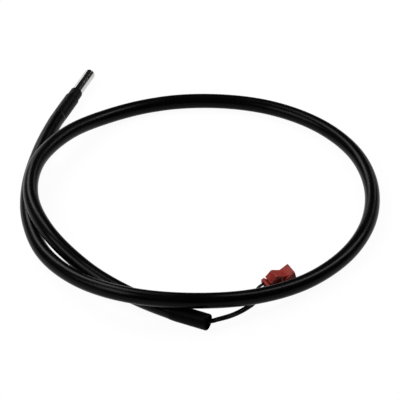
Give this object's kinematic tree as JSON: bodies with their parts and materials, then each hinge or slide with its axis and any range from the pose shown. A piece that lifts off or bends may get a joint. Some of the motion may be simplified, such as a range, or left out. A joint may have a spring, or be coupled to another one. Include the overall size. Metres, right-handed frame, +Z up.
{
  "type": "temperature probe",
  "caption": "Thermistor probe in a closed steel tube with shrink sleeves, on a round cable laid in a loose ring, with thin leads and a latching connector.",
  "frame": {"origin": "middle of the probe's length, on the plane that the probe, cable and connector lie on", "axes": "+Y along the sensing tube towards its closed tip, +Z up, +X towards the middle of the cable's ring"},
  "size_m": [0.1917, 0.1955, 0.0164],
  "materials": {
    "steel": "drawn stainless steel, lightly polished",
    "shrink_black": "black shrink sleeve, satin",
    "jacket_black": "black cable jacket, semi-gloss",
    "wire_black": "black wire insulation",
    "tinned_wire": "tinned copper",
    "contact_metal": "tin-plated brass sheet",
    "bead": "dark glass-coated bead",
    "sleeving": "pale insulating sleeving",
    "potting": "dark casting resin",
    "adhesive": "hot-melt adhesive",
    "red_plastic": "moulded red plastic, fine satin"
  },
  "bodies": {
    "root": {"probe_tube": "steel", "thermistor_bead": "bead", "thermistor_leg_a": "tinned_wire", "thermistor_leg_b": "tinned_wire", "leg_sleeve_a": "sleeving", "leg_sleeve_b": "sleeving", "splice_a": "tinned_wire", "splice_b": "tinned_wire", "conductor_a": "tinned_wire", "conductor_b": "tinned_wire", "core_a": "wire_black", "core_b": "wire_black", "potting": "potting", "inner_shrink": "shrink_black", "adhesive_fill": "adhesive", "outer_shrink": "shrink_black", "cable": "jacket_black", "end_shrink": "shrink_black", "end_seal": "potting", "lead_a": "wire_black", "lead_b": "wire_black", "strand_a": "tinned_wire", "strand_b": "tinned_wire", "contact_a": "contact_metal", "contact_b": "contact_metal", "connector_housing": "red_plastic"}
  },
  "joints": []
}
